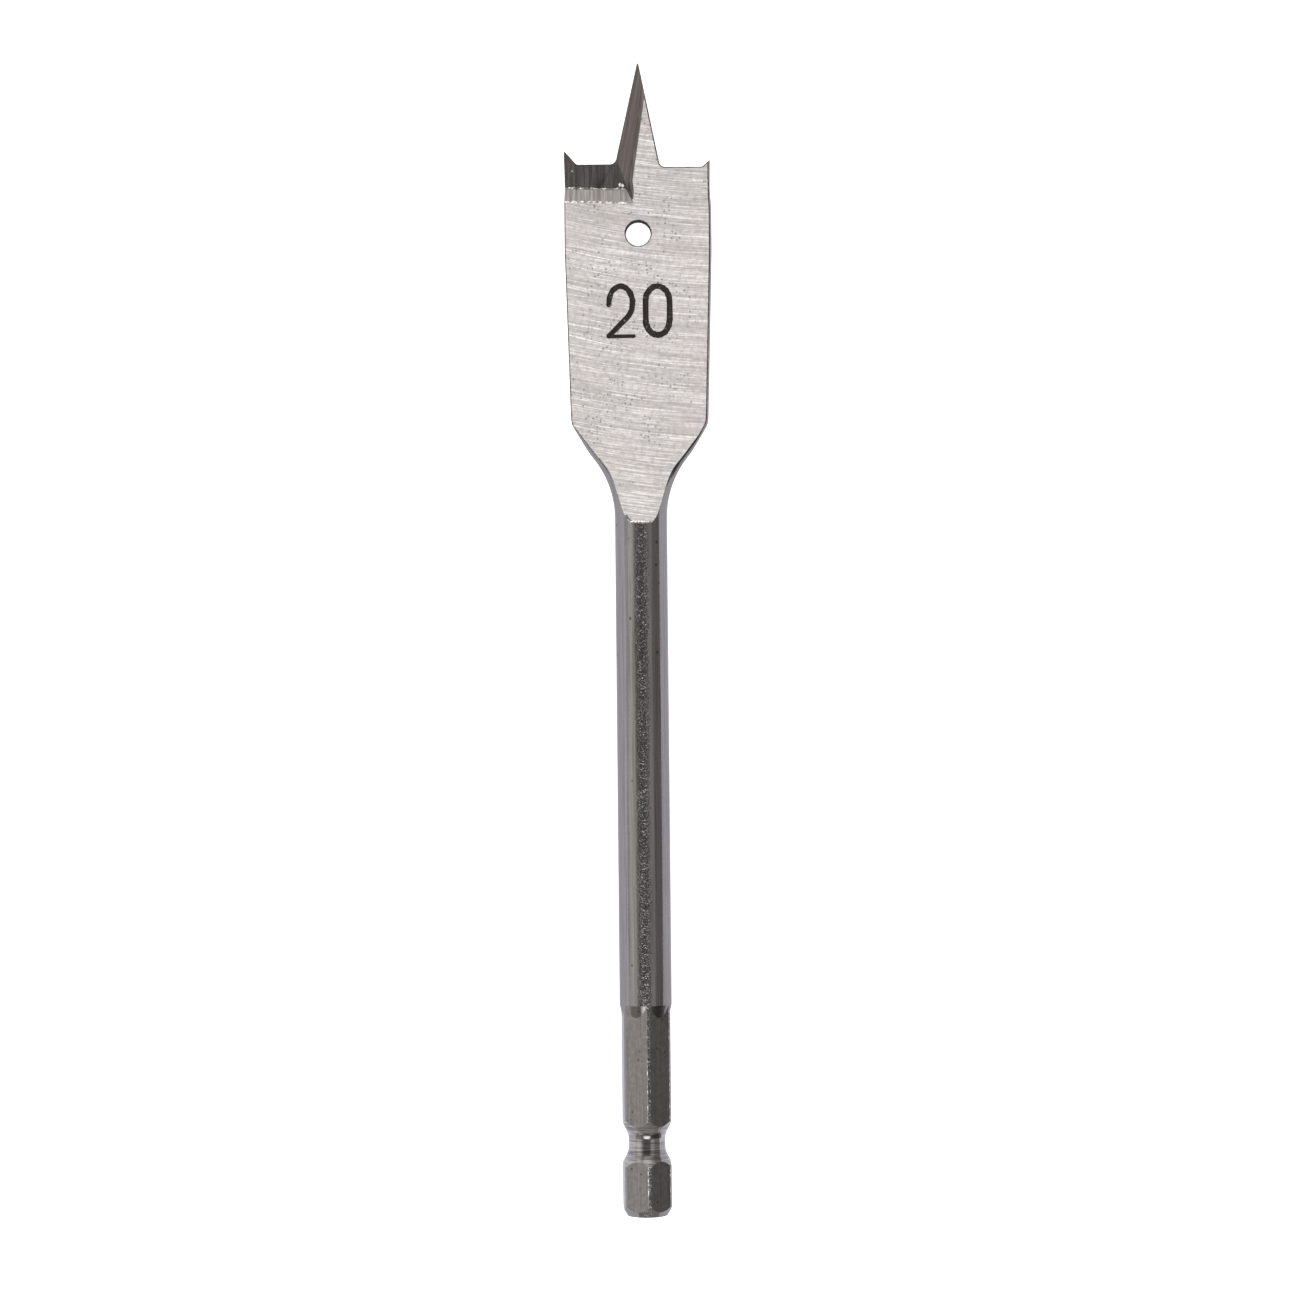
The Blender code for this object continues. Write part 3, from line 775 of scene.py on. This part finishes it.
def notch_cutter(name):
    """The V notch ground in front of the lip, closed by a leaning wall beside the spike."""
    bottom_y = lip - NOTCH_FLOOR_LENGTH
    bottom_z = front - NOTCH_DEPTH
    wall_foot = bottom_y - NOTCH_WALL_LENGTH
    floor_slope = (NOTCH_DEPTH - NOTCH_DEPTH_AT_LIP) / NOTCH_FLOOR_LENGTH
    top = front + CLEAR
    floor_end = lip + FRONT_SPUR_HEIGHT + CLEAR
    section = [
        (bottom_y, bottom_z),
        (floor_end, bottom_z + floor_slope * (floor_end - bottom_y)),
        (floor_end, top),
        (bottom_y - NOTCH_WALL_LENGTH * (top - bottom_z) / NOTCH_DEPTH, top),
    ]
    outer, inner = [], []
    for y, z in section:
        x = -NOTCH_END_FROM_AXIS - (y - wall_foot) * tan(NOTCH_END_ANGLE)
        x += (z - front) * tan(NOTCH_END_LEAN)
        inner.append((x, y - (x + BLADE_WIDTH / 2) * tan(NOTCH_SKEW), z))
        outer.append((-cutter_side, y + (cutter_side - BLADE_WIDTH / 2) * tan(NOTCH_SKEW), z))
    cutter = solid(name, [outer, inner], hollow)
    bpy.ops.object.mode_set(mode="EDIT")
    crest = bmesh.from_edit_mesh(cutter.data)
    for edge in crest.edges:
        edge.select_set(all(abs(point.co.z - bottom_z) < CHATTER for point in edge.verts))
    bpy.ops.mesh.bevel(offset=CHATTER, segments=2)
    crest = bmesh.from_edit_mesh(cutter.data)
    for edge in crest.edges:
        low = all(abs(point.co.z - bottom_z) < 2 * CHATTER for point in edge.verts)
        edge.select_set(low and edge.calc_length() > NOTCH_FLOOR_LENGTH)
    bpy.ops.mesh.subdivide(number_cuts=CHATTER_CUTS)
    bpy.ops.transform.vertex_random(offset=CHATTER / 2, uniform=1.0, seed=3)
    bpy.ops.object.mode_set(mode="OBJECT")
    return cutter


cut(notch_cutter("front_notch"))
cut(half_turn(notch_cutter("back_notch")))

# The gash beside the spike
# A small wheel is fed along the spike and thins it, so it draws into the wood. It leaves a facet that falls
# from the spike's left edge to a steep wall, and lifts out beside the notch.
GASH_DEPTH = 0.00085
GASH_ANGLE = radians(8.6)
GASH_FACET_ANGLE = radians(17)
GASH_WALL_ANGLE = radians(60)
GASH_ON_AXIS_ABOVE_LIPS = 0.0058
GASH_STRAIGHT_FROM = -0.0020
GASH_RUN_OUT = 0.0026
GASH_RUN_OUT_TURN = radians(12)
GASH_STEPS = 24
FACET_COLOUR = (0.20, 0.172, 0.163, 1.0)
FACET_LIGHT = (0.28, 0.248, 0.238, 1.0)
WALL_COLOUR = (0.23, 0.215, 0.207, 1.0)

gash_facet = stroked(
    "gash_facet", 1.0, 0.22, turn=pi / 2 + GASH_ANGLE, along=90.0, across=3000.0, seed=12.0,
    light_at=0.62, dark=FACET_COLOUR, light=FACET_LIGHT,
)
gash_wall = stroked(
    "gash_wall", 0.3, 0.5, turn=0.0, along=3000.0, across=160.0, seed=8.0,
    light_at=0.64, dark=HOLLOW_COLOUR, light=WALL_COLOUR,
)


def gash_cutter(name):
    """The gash of a wheel fed along the spike: a facet falling from the left edge to a steep wall."""
    fed = Vector((sin(GASH_ANGLE), cos(GASH_ANGLE), 0))
    sideways = Vector((-cos(GASH_ANGLE), sin(GASH_ANGLE), 0))
    up = Vector((0, 0, 1))
    on_axis = Vector((0, lip + GASH_ON_AXIS_ABOVE_LIPS, front - GASH_DEPTH))
    straight_from = (lip + GASH_STRAIGHT_FROM - on_axis.y) / fed.y
    facet_width = BLADE_WIDTH / 2
    height = facet_width * tan(GASH_FACET_ANGLE)
    facet_top = sideways * facet_width + up * height
    wall_top = up * height - sideways * height / tan(GASH_WALL_ANGLE)
    lift_radius = (GASH_RUN_OUT**2 + GASH_DEPTH**2) / (2 * GASH_DEPTH)
    leave_angle = acos(1 - (GASH_DEPTH + CLEAR) / lift_radius)
    leaving = Vector((-sin(GASH_RUN_OUT_TURN), cos(GASH_RUN_OUT_TURN), 0))
    bottom = on_axis + fed * (cutter_top - on_axis.y) / fed.y
    start_mesh(name)
    draw([bottom, bottom + facet_top, bottom + wall_top])
    bpy.ops.mesh.select_all(action="SELECT")
    bpy.ops.mesh.edge_face_add()
    for step in range(GASH_STEPS + 1):
        angle = leave_angle * step / GASH_STEPS
        following = on_axis + fed * straight_from - leaving * lift_radius * sin(angle)
        following += up * lift_radius * (1 - cos(angle))
        bpy.ops.mesh.extrude_region_move(TRANSFORM_OT_translate={"value": following - bottom})
        bottom = following
    cutter = finish_mesh(gash_facet)
    cutter.data.materials.append(gash_wall)
    for face in cutter.data.polygons:
        face.material_index = 1 if face.normal.x > sin(radians(45)) else 0
    return cutter


cut(gash_cutter("front_gash"))
cut(half_turn(gash_cutter("back_gash")))

# The burrs
# The wheels push up ragged burrs where they leave the work: below the notch, along its crest, round the end
# of the ground face's tongue and on the hex's corners. They are mottled near-white, a painted highlight for
# the glints that catch on their edges.
BURR_SIZE = 0.00012
CREST_SIZE = 0.00011
BURR_STEP = 0.00016
BURR_PAINTED_HIGHLIGHT = (1.0, 0.98, 0.96, 1.0)
CORNER_BURR = 0.00006
BURR_INSET = 0.0001
CREST_SHORTFALL = 0.0004
FOOT_SHORTFALL = 0.0002
TEAR_PLACE = -0.0026
TEAR_PAST_CREST = 0.00035
TEAR_OVER_CREST = 0.00006
TEAR_LENGTH = 0.0006
FLECK_PLACE = -0.00895
FLECK_BELOW_LIP = 0.00056
FLECK_UNDER_FACE = 0.00050
FLECK_LENGTH = 0.0002
TONGUE_BURR_SHARE = 0.93

# Painted highlight: the burrs' near-white stands in for the glints along their edges.
burr_highlight = mottled("burr_highlight", 0.2, 2300.0, 0.44, 0.54, EDGE_COLOUR, BURR_PAINTED_HIGHLIGHT, roughness=0.3)
corner_burr_highlight = mottled("corner_burr_highlight", 0.3, 1300.0, 0.52, 0.64, SKIN_COLOUR, BURR_PAINTED_HIGHLIGHT, roughness=0.3)


def burr(name, path, size, seed):
    """A ragged ridge of steel along a path, joined to the bit and to its image on the back."""
    for side in (1, -1):
        ridge = start_mesh(name)
        here = Vector(path[0])
        across = (Vector(path[1]) - here).cross(Vector((0, 0, 1))).normalized() * size
        draw([here + across, here - across, here + Vector((0, 0, size))])
        bpy.ops.mesh.select_all(action="SELECT")
        bpy.ops.mesh.edge_face_add()
        for corner in path[1:]:
            leg = Vector(corner) - here
            steps = max(1, round(leg.length / BURR_STEP))
            for _ in range(steps):
                bpy.ops.mesh.extrude_region_move(TRANSFORM_OT_translate={"value": leg / steps})
            here = Vector(corner)
        bpy.ops.mesh.select_all(action="SELECT")
        bpy.ops.transform.vertex_random(offset=size * 0.8, uniform=0.7, seed=seed)
        ridge = finish_mesh(burr_highlight)
        cut(ridge if side == 1 else half_turn(ridge), operation="UNION")


notch_left = -BLADE_WIDTH / 2 + BURR_INSET
notch_foot = lip - NOTCH_FLOOR_LENGTH - NOTCH_WALL_LENGTH
crest_right = -NOTCH_END_FROM_AXIS - NOTCH_WALL_LENGTH * tan(NOTCH_END_ANGLE) - CREST_SHORTFALL
foot_right = -NOTCH_END_FROM_AXIS - FOOT_SHORTFALL
skewed = tan(NOTCH_SKEW)
foot_end = (foot_right, notch_foot - (foot_right + BLADE_WIDTH / 2) * skewed, front)
burr("notch_burr", [(notch_left, notch_foot, front), foot_end], BURR_SIZE, 5)
crest_y = lip - NOTCH_FLOOR_LENGTH
crest_z = front - NOTCH_DEPTH
crest_end = (crest_right, crest_y - (crest_right + BLADE_WIDTH / 2) * skewed, crest_z)
burr("notch_crest", [(notch_left, crest_y, crest_z), crest_end], CREST_SIZE, 8)


def on_left_of_corner(edge):
    """Whether an edge runs along the hex, on the left side of one of its corners."""
    first, last = (point.co for point in edge.verts)
    middle = (first + last) / 2
    turned_by = (atan2(middle.x, middle.z) - HEX_TURN) % radians(60)
    return abs(last.y - first.y) > 0.9 * edge.calc_length() and turned_by > radians(30)


# Painted highlight: the eased corners of the hex are mottled near-white for the sparkle along them.
bit.data.materials.append(corner_burr_highlight)
ease(skin, milled, CORNER_BURR, corner_burr_highlight, on_left_of_corner)
tear = Vector((TEAR_PLACE, crest_y + TEAR_PAST_CREST, crest_z + TEAR_OVER_CREST))
burr("notch_tear", [tear, tear + Vector((TEAR_LENGTH, 0, 0))], 2.2 * CREST_SIZE, 4)
fleck = Vector((FLECK_PLACE, lip - FLECK_BELOW_LIP, front - FLECK_UNDER_FACE))
burr("notch_fleck", [fleck, fleck + Vector((FLECK_LENGTH, 0, 0))], 1.3 * CREST_SIZE, 6)

tongue_z = SHAFT_RADIUS - FACE_END_STEP
tongue_y = shoulder_corner - FACE_FLAT_SHORTFALL
tongue_y -= FACE_WHEEL_RADIUS * sin(acos(1 - (tongue_z - front) / FACE_WHEEL_RADIUS))
tongue_half = TONGUE_BURR_SHARE * (SHAFT_RADIUS**2 - tongue_z**2) ** 0.5
burr("tongue_burr", [(-tongue_half, tongue_y, tongue_z), (tongue_half, tongue_y, tongue_z)], BURR_SIZE, 11)

# The hanging hole
# A plain hole is drilled through the blade, so that the bit can hang on a hook. Its wall is painted
# near-black, a painted shade inside the hole, with a little brown scorching.
HOLE_RADIUS = 0.0017
HOLE_BELOW_LIPS = 0.00915
HOLE_SIDES = 96
HOLE_EASING = 0.00015
HOLE_PAINTED_SHADE = (0.012, 0.009, 0.006, 1.0)
BURNT_COLOUR = (0.20, 0.12, 0.05, 1.0)

drilled, tree, shader, place = new_finish("drilled_wall", 0.0)
scale = noise(tree, place, 2600.0, Detail=3.0)
burnt = fade(tree, scale, 0.52, 0.72)
# Painted shade: the wall's near-black stands in for the shade inside the hole; the brown is scorching.
colour = blend(tree, burnt, HOLE_PAINTED_SHADE, BURNT_COLOUR)
tree.links.new(colour, shader.inputs["Base Color"])
shader.inputs["Roughness"].default_value = 0.6
shader.inputs["Specular IOR Level"].default_value = 0.1
emboss(tree, shader, scale, strength=0.4, distance=0.00003)

start_mesh("hanging_hole")
bpy.ops.mesh.primitive_cylinder_add(
    vertices=HOLE_SIDES, radius=HOLE_RADIUS, depth=4 * CLEAR, location=(0, lip - HOLE_BELOW_LIPS, 0)
)
cut(finish_mesh(drilled))
# The hole's rim is rounded and painted near-black too, a painted shade.
ease(ground, drilled, HOLE_EASING)

# The size mark
# The cutting width in millimetres is engraved in plain strokes with round bottoms and ends, and blackened.
# Where the black has worn off, the steel shows.
MARK_CENTRE = 0.1227
MARK_DEPTH = 0.00016
MARK_COLOUR = (0.020, 0.015, 0.012, 1.0)
STROKE_STEPS = 24

engraved, tree, shader, place = new_finish("engraved_mark", 0.35)
soot = noise(tree, place, 2300.0, Detail=3.0, Roughness=0.7)
bare = fade(tree, soot, 0.60, 0.74)
colour = blend(tree, bare, MARK_COLOUR, SKIN_COLOUR)
tree.links.new(colour, shader.inputs["Base Color"])
shader.inputs["Roughness"].default_value = 0.5
emboss(tree, shader, soot, strength=0.5, distance=0.00004)


def arc(centre, radii, start, end):
    """Points of a stroke along part of an ellipse, from one angle in degrees to another."""
    points = []
    for step in range(STROKE_STEPS + 1):
        angle = radians(start + (end - start) * step / STROKE_STEPS)
        points.append((centre[0] + radii[0] * cos(angle), centre[1] + radii[1] * sin(angle)))
    return points


def sink(stroke, radius):
    """Presses a round stroke down to the mark's depth, on the face, and cuts it."""
    stroke.data.materials.clear()
    stroke.data.materials.append(engraved)
    bpy.ops.object.mode_set(mode="EDIT")
    bpy.ops.mesh.select_all(action="SELECT")
    bpy.ops.transform.vertex_random(offset=radius * 0.12, uniform=1.0, seed=2)
    bpy.ops.object.mode_set(mode="OBJECT")
    stroke.data.transform(
        Matrix.Translation((0, 0, front)) @ Matrix.Scale(MARK_DEPTH / radius, 4, (0, 0, 1))
    )
    cut(stroke)


def engrave(name, points, width, closed=False):
    """Engraves a stroke along points, in millimetres from the mark's middle, with a round end at each end."""
    line = [Vector((x / 1000, MARK_CENTRE + y / 1000, 0)) for x, y in points]
    radius = width / 2000
    start_mesh(name)
    trace(line)
    bpy.ops.mesh.select_all(action="SELECT")
    bpy.ops.mesh.remove_doubles(threshold=radius / 50)
    bpy.ops.object.mode_set(mode="OBJECT")
    bpy.ops.object.convert(target="CURVE")
    stroke = bpy.context.object
    stroke.data.dimensions = "3D"
    stroke.data.bevel_depth = radius
    stroke.data.bevel_resolution = 5
    stroke.data.use_fill_caps = True
    bpy.ops.object.convert(target="MESH")
    bpy.ops.object.mode_set(mode="EDIT")
    bpy.ops.mesh.select_all(action="SELECT")
    bpy.ops.mesh.remove_doubles(threshold=radius / 50)
    sink(finish_mesh(engraved), radius)
    if not closed:
        for end in (line[0], line[-1]):
            start_mesh(name + "_end")
            bpy.ops.mesh.primitive_uv_sphere_add(segments=32, ring_count=16, radius=radius, location=end)
            sink(finish_mesh(engraved), radius)


two = arc((-2.45, 1.05), (1.60, 2.29), 184, 0)
two += [(-0.86, 0.62), (-0.96, 0.16), (-1.20, -0.32), (-1.55, -0.80), (-4.06, -3.38)]
engrave("two", two, 0.78)
engrave("two_foot", [(-4.02, -3.43), (-0.72, -3.43)], 0.53)
zero = arc((2.54, 1.20), (1.625, 2.11), 0, 180) + arc((2.54, -1.20), (1.625, 2.11), 180, 360)
engrave("zero", zero + zero[:1], 0.84, closed=True)

# The finished bit
# Loose chips are brushed off. The bit is rolled round its axis until the blade's left edge lies on the floor
# beside the shaft, and stands for the solid that carries its weight and collisions.
SMOOTH_ANGLE = radians(9)

bpy.ops.object.select_all(action="DESELECT")
bit.select_set(True)
bpy.context.view_layer.objects.active = bit
bpy.ops.object.mode_set(mode="EDIT")
bpy.ops.mesh.select_all(action="DESELECT")
min(bmesh.from_edit_mesh(bit.data).verts, key=lambda point: point.co.y).select_set(True)
bpy.ops.mesh.select_linked()
bpy.ops.mesh.select_all(action="INVERT")
bpy.ops.mesh.delete(type="VERT")
bpy.ops.object.mode_set(mode="OBJECT")
bpy.ops.object.shade_smooth_by_angle(angle=SMOOTH_ANGLE)
laid = Matrix.Rotation(-REST_ROLL, 4, "Y")
bit.data.transform(laid)
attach(bit, "root")
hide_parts("spade_bit")

# The floor and the studio
# The bit lies on a white floor under a plain studio: dark overhead, where the camera is, with a large soft
# light on the left, a weaker one on the right and a softbox beyond the spike. Towards the shank hangs a
# small lamp with dark beside it, and the studio is pale low down there.
FLOOR_SIZE = 6.0
FLOOR_COLOUR = (0.82, 0.82, 0.82, 1.0)
COOL_GLOW = (1.0, 0.92, 1.32, 1.0)
CAMERA_GLOW = 1.0
GLOSSY_GLOW = 0.24
SOFTBOX = 3.0
SPIKE_BOX_FROM = radians(42)
SPIKE_BOX_FULL = radians(53)
SPIKE_BOX_SHARE = 0.75
STRIP_SIDES = (0.40, 0.18)
LAMP_TILT = radians(30)
LAMP_EDGE = (0.17, 0.10)
DARK_EDGE = (0.26, 0.16)
DARK_SHARE = 0.8
LEFT_TO_RIGHT = (-0.2, 0.2)
LEFT_SHARE = 0.7
PALE_EDGE = (-0.76, -0.86)
DARK = (0.05, 0.05, 0.05, 1.0)
PALE = (0.55, 0.54, 0.53, 1.0)
WHITE = (1.0, 1.0, 1.0, 1.0)
LAST_WARM_DEGREE = 85
WARM_LIGHT = (1.0, 0.965, 0.935)
COOL_LIGHT = (1.0, 0.975, 1.07)
BANDS = (
    (-180, 0.95), (-82, 0.95), (-72, 1.02), (-60, 1.28), (-46, 1.22), (-38, 0.98), (-31, 0.55), (-24, 0.34),
    (-18, 0.21), (18, 0.21), (25, 0.58), (34, 0.68), (43, 0.60), (52, 0.31), (57, 0.35), (85, 0.34),
    (89, 1.20), (180, 1.20),
)

bpy.ops.object.select_all(action="DESELECT")
bpy.ops.mesh.primitive_plane_add(size=FLOOR_SIZE, location=(0, 0, cad_box[0][2]))
floor = bpy.context.object
floor.name = "floor"
paper = bpy.data.materials.new("floor_paper")
paper.use_nodes = True
tree = paper.node_tree
tree.nodes.clear()
rays = add(tree, "ShaderNodeLightPath")
mirrored = math(tree, "MAXIMUM", rays.outputs["Is Glossy Ray"], rays.outputs["Is Transmission Ray"])
seen = math(tree, "MULTIPLY", rays.outputs["Is Camera Ray"], CAMERA_GLOW)
seen = math(tree, "ADD", seen, math(tree, "MULTIPLY", mirrored, GLOSSY_GLOW))
glow = add(
    tree, "ShaderNodeEmission", {"Color": blend(tree, mirrored, FLOOR_COLOUR, COOL_GLOW), "Strength": seen}
)
lit = add(tree, "ShaderNodeBsdfDiffuse", {"Color": FLOOR_COLOUR})
both = add(tree, "ShaderNodeAddShader", {0: glow.outputs[0], 1: lit.outputs[0]})
add(tree, "ShaderNodeOutputMaterial", {"Surface": both.outputs[0]})
floor.data.materials.append(paper)

world = bpy.data.worlds.new("studio")
world.use_nodes = True
tree = world.node_tree
direction = add(tree, "ShaderNodeTexCoord").outputs["Generated"]
parts = add(tree, "ShaderNodeSeparateXYZ", {0: rotated(tree, direction, y=REST_ROLL)}).outputs
round_the_bit = math(tree, "ARCTAN2", parts["X"], parts["Z"])
position = math(tree, "ADD", math(tree, "DIVIDE", round_the_bit, 2 * pi), 0.5)
ramp = add(tree, "ShaderNodeValToRGB", {"Fac": position})
while len(ramp.color_ramp.elements) < len(BANDS):
    ramp.color_ramp.elements.new(0.5)
for element, (degrees, value) in zip(ramp.color_ramp.elements, BANDS):
    element.position = degrees / 360 + 0.5
    tint = COOL_LIGHT if abs(degrees) > LAST_WARM_DEGREE else WARM_LIGHT
    element.color = (value * tint[0], value * tint[1], value * tint[2], 1.0)
beyond = fade(tree, parts["Y"], sin(SPIKE_BOX_FROM), sin(SPIKE_BOX_FULL))
narrow = fade(tree, math(tree, "ABSOLUTE", parts["X"]), *STRIP_SIDES)
off_lamp = math(tree, "ABSOLUTE", math(tree, "ADD", parts["Y"], sin(LAMP_TILT)))
near_lamp = fade(tree, off_lamp, *LAMP_EDGE)
strip = math(tree, "MAXIMUM", math(tree, "MULTIPLY", beyond, SPIKE_BOX_SHARE), near_lamp)
strip = math(tree, "MULTIPLY", strip, narrow)
beside_lamp = fade(tree, off_lamp, *DARK_EDGE, high=DARK_SHARE)
share = math(tree, "MULTIPLY", fade(tree, parts["X"], *LEFT_TO_RIGHT, low=LEFT_SHARE), beside_lamp)
light = blend(tree, share, ramp.outputs["Color"], DARK)
light = blend(tree, fade(tree, parts["Y"], *PALE_EDGE), light, PALE)
light = blend(tree, strip, light, (SOFTBOX, SOFTBOX, SOFTBOX, 1.0))
light = blend(tree, add(tree, "ShaderNodeLightPath").outputs["Is Camera Ray"], light, WHITE)
tree.links.new(light, tree.nodes["Background"].inputs["Color"])
bpy.context.scene.world = world

LAMP_SIZE = 1.2
LAMP_PLACE = (-0.5, 0.4, 1.2)
LAMP_WATTS = 15.0
lamp = bpy.data.objects.new("overhead_softbox", bpy.data.lights.new("overhead_softbox", "AREA"))
lamp.data.size = LAMP_SIZE
lamp.data.energy = LAMP_WATTS
lamp.location = LAMP_PLACE
lamp.rotation_euler = Vector(LAMP_PLACE).to_track_quat("Z", "Y").to_euler()
lamp.visible_camera = False
lamp.visible_glossy = False
bpy.context.collection.objects.link(lamp)

# The camera
# It hangs square above the blade's face, a little to the right of the bit's axis, and turned so that the
# spike leans slightly to the left.
CAMERA_DISTANCE = 0.490
FRAME_WIDTH = 0.1777
CAMERA_OVER = (0.001595, 0.07617)
CAMERA_TURN = radians(0.556)
SENSOR_WIDTH = 36.0

camera = bpy.data.objects.new("camera", bpy.data.cameras.new("camera"))
camera.data.sensor_width = SENSOR_WIDTH
camera.data.lens = SENSOR_WIDTH * CAMERA_DISTANCE / FRAME_WIDTH
camera.matrix_world = (
    laid @ Matrix.Translation((*CAMERA_OVER, CAMERA_DISTANCE)) @ Matrix.Rotation(-CAMERA_TURN, 4, "Z")
)
bpy.context.collection.objects.link(camera)
bpy.context.scene.camera = camera
bpy.context.scene.view_settings.view_transform = "Standard"
